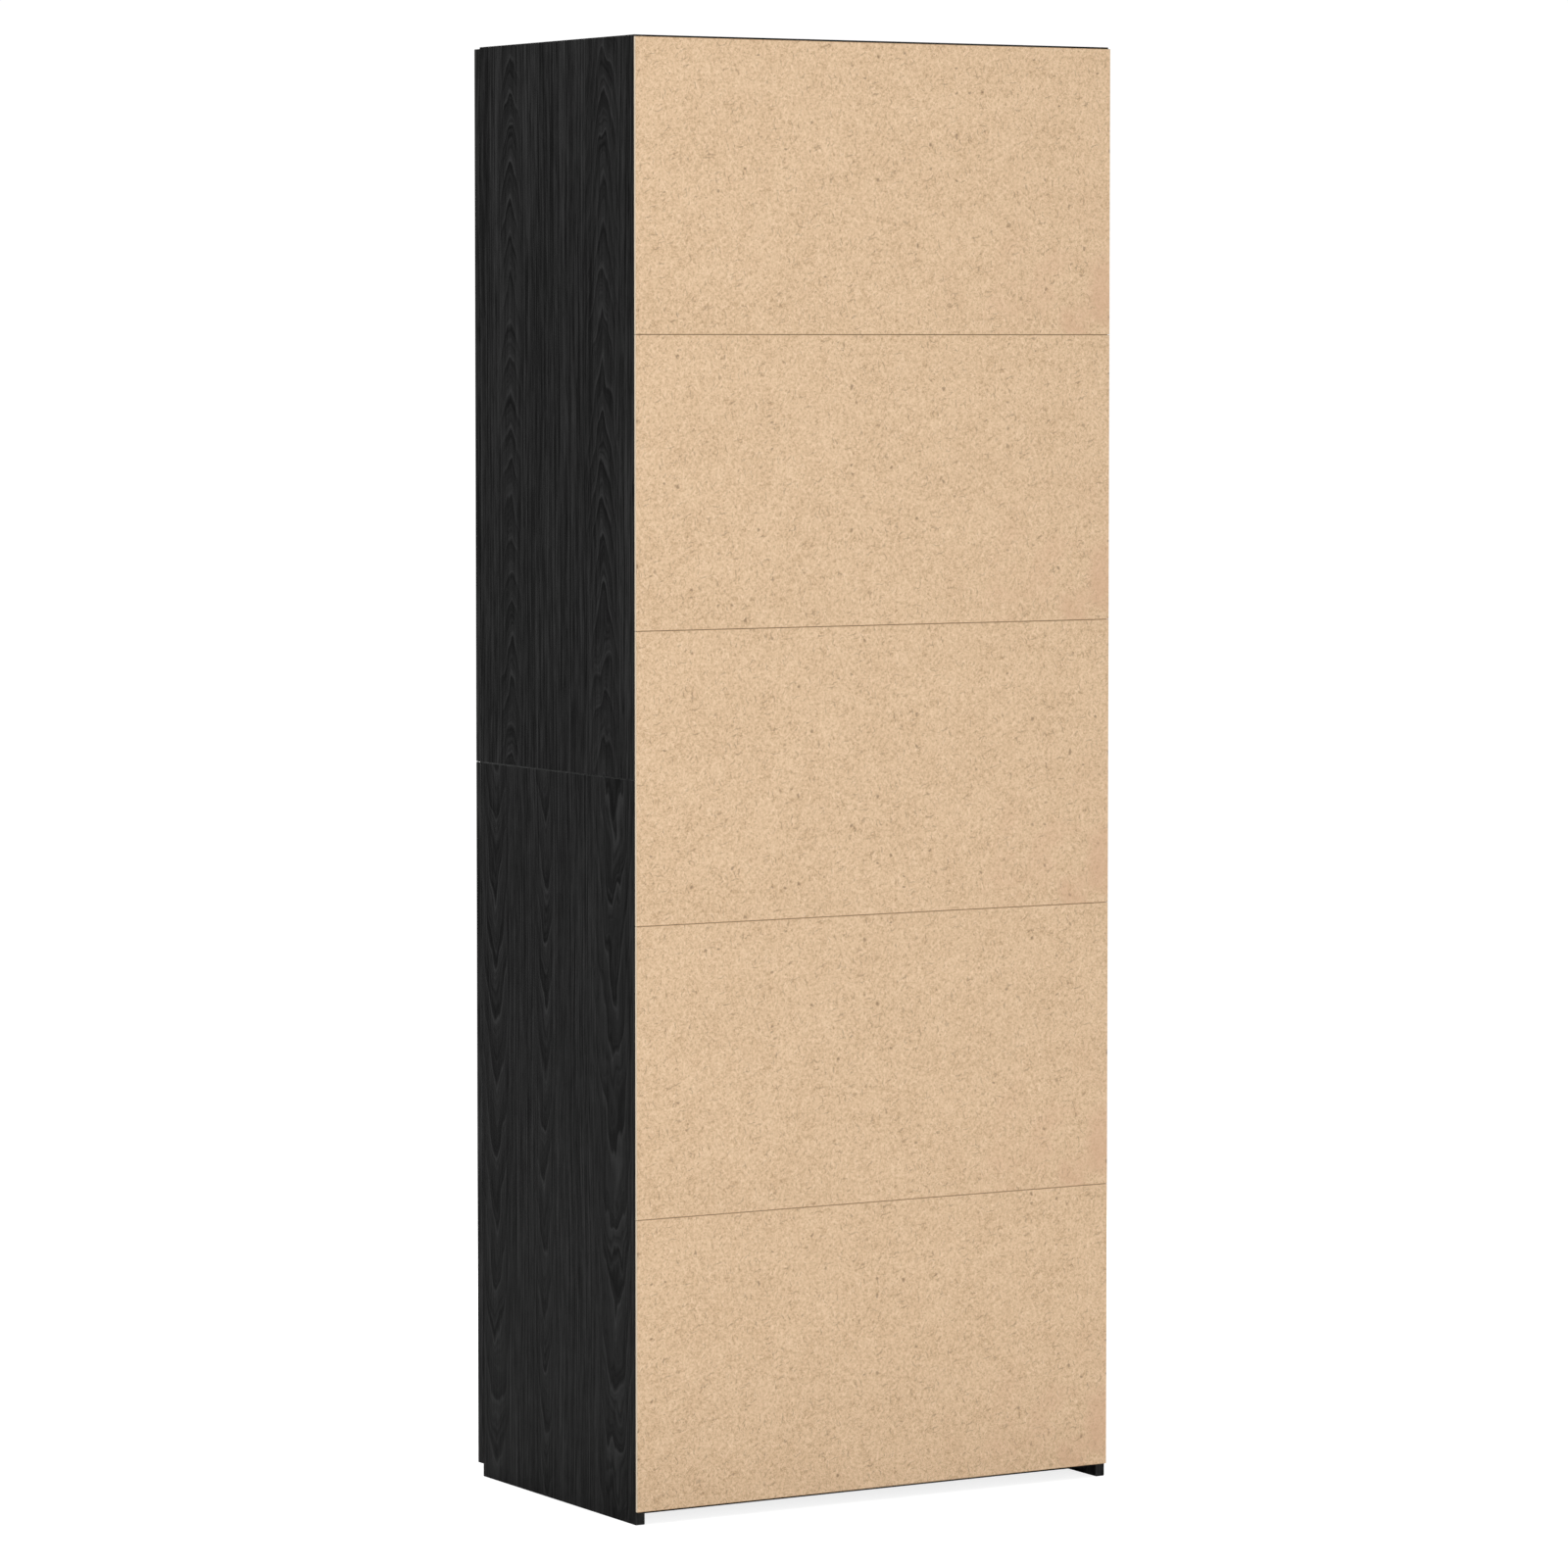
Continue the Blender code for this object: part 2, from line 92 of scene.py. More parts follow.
class Finish:
    """A material, with short calls for the nodes that its finish is worked out with."""

    def __init__(self, name, roughness=0.5, metallic=0.0, specular=0.5):
        self.material = bpy.data.materials.new(name)
        self.material.use_nodes = True
        self.tree = self.material.node_tree
        self.shader = self.tree.nodes["Principled BSDF"]
        self.shader.inputs["Roughness"].default_value = roughness
        self.shader.inputs["Metallic"].default_value = metallic
        self.shader.inputs["Specular IOR Level"].default_value = specular

    def feed(self, socket, value):
        if isinstance(value, bpy.types.NodeSocket):
            self.tree.links.new(value, socket)
        else:
            socket.default_value = value

    def node(self, kind, inputs=(), **settings):
        made = self.tree.nodes.new(kind)
        for key, value in settings.items():
            setattr(made, key, value)
        for key, value in dict(inputs).items():
            self.feed(made.inputs[key], value)
        return made

    def calc(self, operation, a, b=0.0, c=0.0, clamp=False):
        inputs = {0: a, 1: b, 2: c}
        return self.node("ShaderNodeMath", inputs, operation=operation, use_clamp=clamp).outputs[0]

    def times(self, a, b):
        return self.calc("MULTIPLY", a, b)

    def less(self, a, b):
        return self.calc("SUBTRACT", a, b)

    def add_share(self, tone, layer, share):
        """Adds a layer of noise, which varies about 0.5, to a tone."""
        return self.calc("MULTIPLY_ADD", self.less(layer, 0.5), share, tone)

    def place(self):
        """The point on the piece at rest, as its x, y and z."""
        where = self.node("ShaderNodeTexCoord").outputs["Object"]
        split = self.node("ShaderNodeSeparateXYZ", {0: where})
        return [split.outputs[i] for i in range(3)]

    def join(self, x, y, z):
        return self.node("ShaderNodeCombineXYZ", {0: x, 1: y, 2: z}).outputs[0]

    def noise(self, point, rates, seed=0.0, detail=2.0, roughness=0.5, distortion=0.0):
        """Noise from 0 to 1, with so many grains per metre along each of the point's axes."""
        inputs = {0: point, 1: rates, 2: (seed, seed * 0.7, -seed)}
        scaled = self.node("ShaderNodeVectorMath", inputs)
        scaled.operation = "MULTIPLY_ADD"
        inputs = {
            "Vector": scaled.outputs[0],
            "Scale": 1.0,
            "Detail": detail,
            "Roughness": roughness,
            "Distortion": distortion,
        }
        return self.node("ShaderNodeTexNoise", inputs).outputs["Fac"]

    def lines(self, value, rate, seed):
        """Noise from 0 to 1 that changes with one value only."""
        inputs = {
            "W": self.calc("MULTIPLY_ADD", value, rate, seed),
            "Scale": 1.0,
            "Detail": 1.0,
            "Roughness": 0.5,
        }
        return self.node("ShaderNodeTexNoise", inputs, noise_dimensions="1D").outputs["Fac"]

    def remap(self, value, low, high, to_low=0.0, to_high=1.0, smooth=False):
        inputs = {0: value, 1: low, 2: high, 3: to_low, 4: to_high}
        kind = "SMOOTHSTEP" if smooth else "LINEAR"
        return self.node("ShaderNodeMapRange", inputs, interpolation_type=kind).outputs[0]

    def mix(self, share, a, b):
        """From a to b. They are both numbers, or both colours."""
        colour = isinstance(a, tuple) or isinstance(b, tuple)
        colour = colour or getattr(a, "type", "VALUE") == "RGBA"
        made = self.node("ShaderNodeMix", data_type="RGBA" if colour else "FLOAT")
        self.feed(made.inputs[0], share)
        self.feed(made.inputs[6 if colour else 2], a)
        self.feed(made.inputs[7 if colour else 3], b)
        return made.outputs[2 if colour else 0]

    def ramp(self, value, stops):
        made = self.node("ShaderNodeValToRGB", {0: value})
        band = made.color_ramp
        while len(band.elements) < len(stops):
            band.elements.new(1.0)
        for element, (place, tone) in zip(band.elements, stops):
            element.position = place
            element.color = (tone, tone, tone, 1)
        return made.outputs[0]

    def colour(self, value):
        self.feed(self.shader.inputs["Base Color"], value)

    def roughness(self, value):
        self.feed(self.shader.inputs["Roughness"], value)

    def relief(self, height, depth):
        """Bump, for a height from 0 to 1 that is so many metres deep."""
        bump = self.node("ShaderNodeBump", {"Height": height, "Distance": depth, "Strength": 1.0})
        self.feed(self.shader.inputs["Normal"], bump.outputs[0])


# Studio.

FLOOR_REACH = 3.4  # the floor fades into the surround between these two radii
FLOOR_FADE_START = 1.5
FLOOR_STEPS = 96
FLOOR_TONE = (0.40, 0.40, 0.40, 1)
FLOOR_LIFT = 0.82  # how much paler the camera sees it, which keeps the shadow faint
SURROUND_GLOW = 0.34  # what lights the object
BACKDROP_GLOW = 1.03  # what the camera sees
WHITE = (1, 1, 1, 1)
LIGHTS = (
    # name, place, size, power, what it points at
    ("rear_softbox", (2.0, 5.9, 1.4), (3.6, 3.6), 256, (0, 0.2, 0.85)),
    ("side_softbox", (5.0, 0.9, 2.6), (2.6, 3.0), 58, (0.3, 0, 1.1)),
    ("front_softbox", (-1.6, -5.2, 2.4), (3.2, 3.2), 430, (0, -0.2, 0.9)),
    ("left_softbox", (-4.8, -0.6, 2.4), (2.6, 3.0), 70, (-0.3, 0, 0.9)),
    ("top_softbox", (0.0, 0.0, 5.0), (4.0, 4.0), 80, (0, 0, 0)),
)


def make_studio():
    scene = bpy.context.scene
    scene.view_settings.view_transform = "Standard"
    for name, place, size, power, target in LIGHTS:
        light = bpy.data.lights.new(name, "AREA")
        light.shape = "RECTANGLE"
        light.size, light.size_y = size
        light.energy = power
        lamp = bpy.data.objects.new(name, light)
        lamp.location = place
        lamp.rotation_euler = (Vector(target) - Vector(place)).to_track_quat("-Z", "Y").to_euler()
        scene.collection.objects.link(lamp)
    scene.world = make_world()
    scene.collection.objects.link(make_floor())


def make_world():
    """An even pale surround. The camera sees it white."""
    world = bpy.data.worlds.new("studio")
    world.use_nodes = True
    tree = world.node_tree
    glow = tree.nodes["Background"]
    plain = tree.nodes.new("ShaderNodeBackground")
    for shader, strength in ((glow, SURROUND_GLOW), (plain, BACKDROP_GLOW)):
        shader.inputs["Color"].default_value = WHITE
        shader.inputs["Strength"].default_value = strength
    path = tree.nodes.new("ShaderNodeLightPath")
    mix = tree.nodes.new("ShaderNodeMixShader")
    tree.links.new(path.outputs["Is Camera Ray"], mix.inputs[0])
    tree.links.new(glow.outputs[0], mix.inputs[1])
    tree.links.new(plain.outputs[0], mix.inputs[2])
    tree.links.new(mix.outputs[0], tree.nodes["World Output"].inputs["Surface"])
    return world


def make_floor():
    """A pale round floor whose rim fades into the surround."""
    mesh = bpy.data.meshes.new("floor")
    shape = bmesh.new()
    bmesh.ops.create_circle(shape, cap_ends=True, segments=FLOOR_STEPS, radius=FLOOR_REACH)
    shape.to_mesh(mesh)
    shape.free()
    floor = bpy.data.objects.new("floor", mesh)
    made = Finish("studio_floor", roughness=0.9, specular=0.1)
    made.shader.inputs["Base Color"].default_value = FLOOR_TONE
    made.shader.inputs["Emission Color"].default_value = WHITE
    seen = made.node("ShaderNodeLightPath").outputs["Is Camera Ray"]
    made.feed(made.shader.inputs["Emission Strength"], made.times(seen, FLOOR_LIFT))
    x, y, _ = made.place()
    radius = made.calc("SQRT", made.calc("MULTIPLY_ADD", x, x, made.times(y, y)))
    fade = made.remap(radius, FLOOR_FADE_START, FLOOR_REACH, smooth=True)
    clear = made.node("ShaderNodeBsdfTransparent")
    inputs = {0: fade, 1: made.shader.outputs[0], 2: clear.outputs[0]}
    mix = made.node("ShaderNodeMixShader", inputs)
    made.feed(made.tree.nodes["Material Output"].inputs["Surface"], mix.outputs[0])
    mesh.materials.append(made.material)
    return floor


# Black oak-grain laminate.

GRAIN_DARK = (0.0009, 0.0009, 0.0009, 1)
GRAIN_LIGHT = (0.0385, 0.0385, 0.0385, 1)
GRAIN_TONE = 0.39  # the laminate's own tone, from dark at 0 to light at 1
GRAIN_LAYERS = (
    # grains per metre across, through and along the wood; seed; detail; roughness; share
    ((760, 300, 11), 0.0, 2, 0.6, 1.6),
    ((330, 90, 3.2), 7.7, 2, 0.55, 2.3),
    ((30, 20, 0.6), 1.9, 1, 0.5, 0.25),
    ((160, 150, 24), 9.4, 2, 0.5, 0.8),
)
GRAIN_WANDER = 0.024  # how far the grain bends aside
GRAIN_RELIEF = 0.00006
PORES = (1500, 1500, 42)
ARCH_TONES = (
    # share of the run from one arch to the next, tone
    (0.0, 1.0),
    (0.08, 0.60),
    (0.3, 0.42),
    (0.6, 0.27),
    (0.87, 0.05),
    (0.94, 0.22),
    (1.0, 1.0),
)
ARCH_POINT = 1.40  # slope of an arch's sides at its tip
ARCH_TIP = 0.002  # how far from the middle the tip is rounded
SEAM_RIM = 0.0010  # the painted highlight on the seam's edges reaches this far from the seam
# The colour of the painted highlight along the seam's edges, where light catches their bevels.
SEAM_HIGHLIGHT = (0.115, 0.115, 0.115, 1)

# A figure is a stack of arches, where the grain was cut through. It holds its middle as a share
# of the board's width, the way the arches point, the run from one to the next, how fast they
# close, how wide the figure is, and how far its rings wander.
SIDE_FIGURES = {
    "upper": ((0.20, 1, 0.046, 0.0300, 0.023, 2.0), (0.81, 1, 0.056, 0.0160, 0.034, 2.4)),
    "lower": (
        (0.09, -1, 0.084, 0.0085, 0.034, 1.9),
        (0.42, -1, 0.078, 0.0065, 0.020, 1.9),
        (0.87, -1, 0.105, 0.0085, 0.042, 2.6),
    ),
}
# The doors' figures leave out the way, which goes by the piece.
DOOR_FIGURES = {
    "right": ((0.24, 0.062, 0.0120, 0.030, 3.4), (0.70, 0.085, 0.0085, 0.046, 4.4)),
    "left": ((0.36, 0.090, 0.0090, 0.050, 4.0), (0.83, 0.056, 0.0140, 0.026, 3.0)),
}


def arches(made, u, v, point, fine, figure, seed):
    """One figure's tone, and how much of it shows. u runs across the grain and v along it."""
    middle, way, run, closing, width, wobble = figure
    x = made.less(u, middle)
    square = made.times(x, x)
    tip = made.calc("SQRT", made.calc("ADD", square, ARCH_TIP * ARCH_TIP))
    drop = made.calc("MULTIPLY_ADD", tip, ARCH_POINT, made.calc("DIVIDE", square, 2 * closing))
    rise = made.calc("DIVIDE", made.calc("MULTIPLY_ADD", v, way, drop), run)
    shift = made.noise(point, (26, 26, 7), seed[0])
    rings = made.calc("MULTIPLY_ADD", shift, wobble, rise)
    tone = made.ramp(made.calc("FRACT", rings), ARCH_TONES)
    tone = made.add_share(tone, made.lines(rings, 7.0, seed[1]), 0.9)
    tone = made.add_share(tone, fine, 0.8)
    fade = made.calc("EXPONENT", made.calc("DIVIDE", square, -width * width))
    strength = made.noise(point, (8, 8, 5), seed[2], detail=1)
    strength = made.remap(strength, 0.35, 0.6, 0.65, 1.0)
    return tone, made.times(fade, strength)


def painted_seam_highlight(made, point, y, z, seam, seed):
    """How much painted highlight the edges at the seam take, standing for light catching their
    bevels: less towards the back, and unevenly.
    """
    away = made.calc("ABSOLUTE", made.less(z, seam))
    rim = made.remap(away, SEAM_RIM / 2, SEAM_RIM, 1.0, 0.0)
    patchiness = made.noise(point, (40,) * 3, seed)
    rim = made.times(rim, made.remap(patchiness, 0.35, 0.65, 0.55, 1.0))
    return made.times(rim, made.remap(y, cad_low.y, cad_high.y, 1.0, 0.35))


def oak(name, across, along, figures=(), seed=0.0, seam=None):
    """Black oak-grain laminate: long streaks, pores and figures. Across and along are the axes
    that the grain takes, and a seam is given as its height; its edges get a painted highlight."""
    made = Finish(name, roughness=0.55, specular=0.09)
    xyz = made.place()
    u, v = xyz[across], xyz[along]
    w = xyz[X + Y + Z - across - along]
    wander = made.noise(made.join(u, w, v), (7, 7, 2.0), seed + 3.1)
    u = made.calc("MULTIPLY_ADD", made.less(wander, 0.5), GRAIN_WANDER, u)
    point = made.join(u, w, v)
    layers = [
        made.noise(point, rates, seed + own, detail, rough)
        for rates, own, detail, rough, _ in GRAIN_LAYERS
    ]
    tone = GRAIN_TONE
    for layer, (*_, share) in zip(layers, GRAIN_LAYERS):
        tone = made.add_share(tone, layer, share)
    for number, figure in enumerate(figures):
        seeds = (seed + 5.3 + 3 * number, seed + number, seed + 6.1 + 3 * number)
        arch, shows = arches(made, u, v, point, layers[0], figure, seeds)
        tone = made.mix(shows, tone, arch)
    pores = made.noise(point, PORES, seed + 12.0, detail=1)
    deep = made.less(tone, made.remap(pores, 0.60, 0.70, 0.0, 0.45))
    colour = made.mix(made.calc("ADD", deep, 0.0, clamp=True), GRAIN_DARK, GRAIN_LIGHT)
    # A painted highlight along the seam's edges, for light on their bevels, fading towards the
    # back.
    if seam:
        wear_and_highlight = painted_seam_highlight(made, point, xyz[Y], xyz[Z], seam, seed + 30)
        colour = made.mix(wear_and_highlight, colour, SEAM_HIGHLIGHT)
    made.colour(colour)
    made.roughness(made.remap(tone, 0.0, 1.0, 0.50, 0.62))
    made.relief(deep, GRAIN_RELIEF)
    return made.material


def side_oak(word, piece):
    """A side panel's laminate. Its figures are placed from its front edge."""
    low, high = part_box(f"side_panel_{word}_{piece}")
    placed = [(low.y + share * (high.y - low.y), *rest) for share, *rest in SIDE_FIGURES[piece]]
    seed = {"upper": 11.0, "lower": 23.0}[piece] + (0 if word == "right" else 5.0)
    return oak(f"black_oak_side_{word}_{piece}", Y, Z, placed, seed, SEAM_Z)


def door_oak(word, piece):
    """A door's laminate. The arches of the upper doors point down, and those of the lower up."""
    low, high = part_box(f"door_{word}_{piece}")
    way = 1 if piece == "lower" else -1
    figures = DOOR_FIGURES[word]
    placed = [(low.x + share * (high.x - low.x), way, *rest) for share, *rest in figures]
    seed = 41.0 + 7 * PIECES.index(piece) + (0 if word == "right" else 3.0)
    return oak(f"black_oak_door_{word}_{piece}", X, Z, placed, seed, SEAM_Z)


# Raw fibreboard.

BOARD_TAN = (0.700, 0.500, 0.320, 1)
BOARD_PALE = (0.850, 0.640, 0.440, 1)
BOARD_DARK = (0.420, 0.270, 0.150, 1)
BOARD_RED = (0.640, 0.400, 0.260, 1)
CUT_PALE = (0.900, 0.780, 0.610, 1)
CUT_DARK = (0.700, 0.560, 0.410, 1)
FLECK = (0.150, 0.085, 0.045, 1)
BOARD_LAYERS = (
    # Clouds, mottle and specks: grains per metre, seed, detail, roughness, share.
    (22, 0.0, 3, 0.5, 0.26),
    (230, 1.0, 3, 0.7, 1.15),
    (520, 2.0, 2, 0.7, 0.95),
)
FIBRES = (
    # bends per metre, line width, how much of the board has them, colour
    (150, 0.026, 0.52, BOARD_DARK),
    (110, 0.020, 0.55, BOARD_PALE),
    (210, 0.030, 0.53, BOARD_DARK),
)
BITS = (
    # Bits of bark and loose fibre: the way they lie in degrees, how many per metre, how long they
    # are for their width, the share of them that is missing, strength, colour.
    (0, 62.0, 1.2, 0.95, 0.55, FLECK),
    (20, 150.0, 1.5, 0.72, 0.30, FLECK),
    (75, 150.0, 6.0, 0.72, 0.34, FLECK),
    (-15, 140.0, 7.0, 0.76, 0.34, FLECK),
    (130, 160.0, 5.0, 0.66, 0.28, FLECK),
    (50, 170.0, 6.0, 0.45, 0.55, BOARD_PALE),
    (-60, 165.0, 7.0, 0.45, 0.50, BOARD_PALE),
)
BIT_BEND = 0.010
PATCH_REACH = 0.30  # from the left side panel
PATCH_RISE = 0.22  # above a panel's lower edge


def board_fibres(made, point, base, seed):
    """Felted fibres. A fibre is a thin curve along which a broad noise crosses its middle value."""
    for number, (rate, width, some, shade) in enumerate(FIBRES):
        field = made.noise(point, (rate,) * 3, seed + 5 + number, detail=1, distortion=1.0)
        line = made.calc("ABSOLUTE", made.less(field, 0.5))
        line = made.remap(line, 0.0, width, 1.0, 0.0)
        there = made.noise(point, (85,) * 3, seed + 11 + number, detail=3)
        there = made.remap(there, some, some + 0.08, 0.0, 0.75)
        base = made.mix(made.times(line, there), base, shade)
    return base


def board_bits(made, x, z, point, base, seed):
    """Single bits of bark and fibre. Each is the middle of a stretched cell, a little bent."""
    bend = made.noise(point, (120,) * 3, seed + 17, detail=1)
    bend = made.times(made.less(bend, 0.5), BIT_BEND)
    for turn, rate, stretch, few, strength, shade in BITS:
        across, up = math.cos(math.radians(turn)), math.sin(math.radians(turn))
        along = made.calc("MULTIPLY_ADD", x, across, made.times(z, up))
        aside = made.calc("MULTIPLY_ADD", z, across, made.calc("MULTIPLY_ADD", x, -up, bend))
        # Adding the turn gives each kind its own cells.
        where = made.join(made.calc("DIVIDE", along, stretch), made.calc("ADD", aside, turn), 0.0)
        inputs = {"Vector": where, "Scale": rate}
        cells = made.node("ShaderNodeTexVoronoi", inputs, voronoi_dimensions="2D")
        chosen = made.node("ShaderNodeSeparateColor", {0: cells.outputs["Color"]}).outputs[0]
        bit = made.remap(cells.outputs["Distance"], 0.06, 0.16, 1.0, 0.0)
        bit = made.times(bit, made.remap(chosen, few, few + 0.02, 0.0, strength))
        base = made.mix(bit, base, shade)
    return base


def warm_patches(made, x, z, point, base, low, seed):
    """Faint warm patches, near the lower corner at the left side panel."""
    patch = made.noise(point, (20,) * 3, seed + 21, detail=3)
    patch = made.remap(patch, 0.46, 0.66, 0.0, 0.60)
    near = made.remap(x, low.x, low.x + PATCH_REACH, 1.0, 0.0, smooth=True)
    down = made.remap(z, low.z, low.z + PATCH_RISE, 1.0, 0.0, smooth=True)
    return made.mix(made.times(patch, made.times(near, down)), base, BOARD_RED)


def fibreboard(name, low, high, seed=2.0):
    """Raw pressed fibreboard, from its box. It is darker along the level edges, at the seams."""
    made = Finish(name, roughness=0.88, specular=0.15)
    x, y, z = made.place()
    point = made.join(x, y, made.less(z, low.z))
    layers = [
        made.noise(point, (rate,) * 3, seed + own, detail, rough)
        for rate, own, detail, rough, _ in BOARD_LAYERS
    ]
    tone = 0.5
    for layer, (*_, share) in zip(layers, BOARD_LAYERS):
        tone = made.add_share(tone, layer, share)
    base = made.mix(made.remap(tone, 0.5, 1.0), BOARD_TAN, BOARD_PALE)
    base = made.mix(made.remap(tone, 0.5, 0.0), base, BOARD_DARK)
    base = board_fibres(made, point, base, seed)
    base = board_bits(made, x, z, point, base, seed)
    base = warm_patches(made, x, z, point, base, low, seed)
    rim = made.calc("MINIMUM", made.less(z, low.z), made.less(high.z, z))
    rim = made.remap(rim, 0.0003, 0.0009, 0.75, 0.0)
    made.colour(made.mix(rim, base, BOARD_DARK))
    _, mottle, speck = layers
    made.relief(made.calc("MULTIPLY_ADD", mottle, 0.6, made.times(speck, 0.4)), 0.0002)
    return made.material


def cut_edge(name, seed=4.0):
    """Fibreboard's sawn edge: paler than its face, and striped along its layers."""
    made = Finish(name, roughness=0.92, specular=0.12)
    point = made.join(*made.place())
    layers = made.noise(point, (60, 1400, 60), seed)
    fuzz = made.noise(point, (900,) * 3, seed + 1)
    tone = made.calc("MULTIPLY_ADD", fuzz, 0.5, made.times(layers, 0.5))
    made.colour(made.mix(made.remap(tone, 0.35, 0.60), CUT_DARK, CUT_PALE))
    made.relief(fuzz, 0.0002)
    return made.material


# Wood, metal and plastic of the small pieces.

BEECH = (0.66, 0.46, 0.28, 1)
BEECH_DARK = (0.52, 0.34, 0.19, 1)
BEECH_FLECK = (0.30, 0.17, 0.09, 1)


def beech_wood(name, seed=9.0):
    """Pale beech with short darker flecks along its grain."""
    made = Finish(name, roughness=0.6, specular=0.3)
    point = made.join(*made.place())
    grain = made.noise(point, (900, 900, 25), seed)
    fleck = made.noise(point, (1600, 1600, 180), seed + 2, detail=1)
    base = made.mix(made.remap(grain, 0.35, 0.65), BEECH_DARK, BEECH)
    made.colour(made.mix(made.remap(fleck, 0.6, 0.7, 0.0, 0.6), base, BEECH_FLECK))
    made.relief(grain, 0.00005)
    return made.material


def shades(colour, share):
    """A share of a colour, which is darker, and the colour itself, as a mix takes them."""
    return tuple(c * share for c in colour) + (1,), (*colour, 1)


def metal(name, colour, roughness, seed, metallic):
    """Pressed, plated or coated metal, a little uneven."""
    made = Finish(name, roughness=roughness, metallic=metallic)
    point = made.join(*made.place())
    wear_and_highlight = made.noise(point, (1400, 1400, 300), seed)
    broad = made.noise(point, (60,) * 3, seed + 4, detail=1)
    made.colour(made.mix(broad, *shades(colour, 0.9)))
    made.roughness(made.remap(wear_and_highlight, 0.3, 0.7, roughness * 0.88, roughness * 1.12))
    made.relief(wear_and_highlight, 0.00001)
    return made.material


def plastic(name, colour, roughness, seed):
    """Moulded plastic with a fine texture."""
    made = Finish(name, roughness=roughness, specular=0.4)
    point = made.join(*made.place())
    grain = made.noise(point, (1500,) * 3, seed)
    made.colour(made.mix(grain, *shades(colour, 0.85)))
    made.roughness(made.remap(grain, 0.3, 0.7, roughness * 0.9, roughness * 1.15))
    made.relief(grain, 0.00004)
    return made.material


# The CAD nodes' finishes.

SHARP_ANGLE = math.radians(35)
FACE, INNER_FACE, CUT_EDGE = range(3)


def wear(obj, *materials):
    obj.data.materials.clear()
    for item in materials:
        obj.data.materials.append(item)


def smooth(obj):
    """Smooth shading, except over sharp edges."""
    obj.data.shade_smooth()
    obj.data.set_sharp_from_angle(angle=SHARP_ANGLE)


def finish_boards():
    for word in SIDES:
        for piece in PIECES:
            wear(nodes[f"side_panel_{word}_{piece}"], side_oak(word, piece))
            wear(nodes[f"door_{word}_{piece}"], door_oak(word, piece))
    for number, name in enumerate(LEVEL_BOARDS):
        wear(nodes[name], oak(f"black_oak_{name}", Y, X, seed=61.0 + 4 * number))


def finish_back():
    """Raw fibre behind, laminate towards the inside, and sawn edges between them."""
    edge = cut_edge("fibreboard_edge")
    for number, name in enumerate(BACK_PANELS, 1):
        panel = nodes[name]
        raw = fibreboard(f"raw_fibreboard_{number}", *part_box(name))
        laminate = oak(f"black_oak_back_{number}", X, Z, seed=80.0 + number)
        wear(panel, raw, laminate, edge)
        for face in panel.data.polygons:
            outer = face.normal.y > 0.5
            inner = face.normal.y < -0.5
            face.material_index = FACE if outer else INNER_FACE if inner else CUT_EDGE


def finish_hardware():
    finishes = {"hinge_": steel, "handle_": coated, "seam_dowel_": beech_wood("beech")}
    for name, obj in nodes.items():
        for start, finish in finishes.items():
            if name.startswith(start):
                wear(obj, finish)
                smooth(obj)


# Small fittings.

TURN_STEPS = 28
# Each ring is a share of the radius and of the height.
HEAD_RINGS = ((1.0, 0.0), (1.0, 0.30), (0.94, 0.62), (0.82, 0.86), (0.68, 1.0))
COVER_RINGS = (
    (1.0, 0.0),
    (1.0, 0.45),
    (0.975, 0.80),
    (0.93, 1.0),
    (0.60, 1.0),
    (0.57, 0.80),
    (0.54, 1.0),
    (0.0, 1.0),
)
PAD_RINGS = ((1.0, 0.0), (0.97, 0.35), (0.86, 0.68), (0.66, 0.90), (0.36, 1.0), (0.0, 1.04))
CROSS_REACH = 0.50  # a screw's cross recess, as shares of the head's radius
CROSS_HALF = 0.115
CROSS_TAPER = 0.72  # its floor, as a share of its mouth
CROSS_FLOOR = 0.25  # share of the head's height


def rings_mesh(rings, radius, height):
    """A low turned shape standing on its origin, closed underneath. A last ring of no radius
    closes the top, and any other is left open."""
    shape = bmesh.new()
    loops = []
    for share, rise in rings:
        loop = []
        for i in range(TURN_STEPS if share else 1):
            angle = math.tau * i / TURN_STEPS
            x, y = radius * share * math.cos(angle), radius * share * math.sin(angle)
            loop.append(shape.verts.new((x, y, height * rise)))
        loops.append(loop)
    shape.faces.new(reversed(loops[0]))
    for below, above in zip(loops, loops[1:]):
        for i in range(TURN_STEPS):
            j = (i + 1) % TURN_STEPS
            top = above if len(above) == 1 else (above[j], above[i])
            shape.faces.new((below[i], below[j], *top))
    return shape


def finished(shape, name):
    bmesh.ops.recalc_face_normals(shape, faces=shape.faces)
    mesh = bpy.data.meshes.new(name)
    shape.to_mesh(mesh)
    shape.free()
    return mesh


def screw_mesh(radius, height):
    """A low domed screw head with a cross recess."""
    shape = rings_mesh(HEAD_RINGS, radius, height)
    reach, half = CROSS_REACH * radius, CROSS_HALF * radius
    cross = []
    for turn in range(4):
        for x, y in ((half, half), (half, reach), (-half, reach)):
            for _ in range(turn):
                x, y = -y, x
            cross.append((x, y))
    mouth = [shape.verts.new((x, y, height)) for x, y in cross]
    floor = [
        shape.verts.new((CROSS_TAPER * x, CROSS_TAPER * y, CROSS_FLOOR * height)) for x, y in cross
    ]
    for i in range(len(cross)):
        j = (i + 1) % len(cross)
        shape.faces.new((mouth[j], mouth[i], floor[i], floor[j]))
    shape.faces.new(floor)
    loose = [edge for edge in shape.edges if len(edge.link_faces) == 1]
    bmesh.ops.triangle_fill(shape, use_beauty=True, edges=loose)
    return finished(shape, "screw")


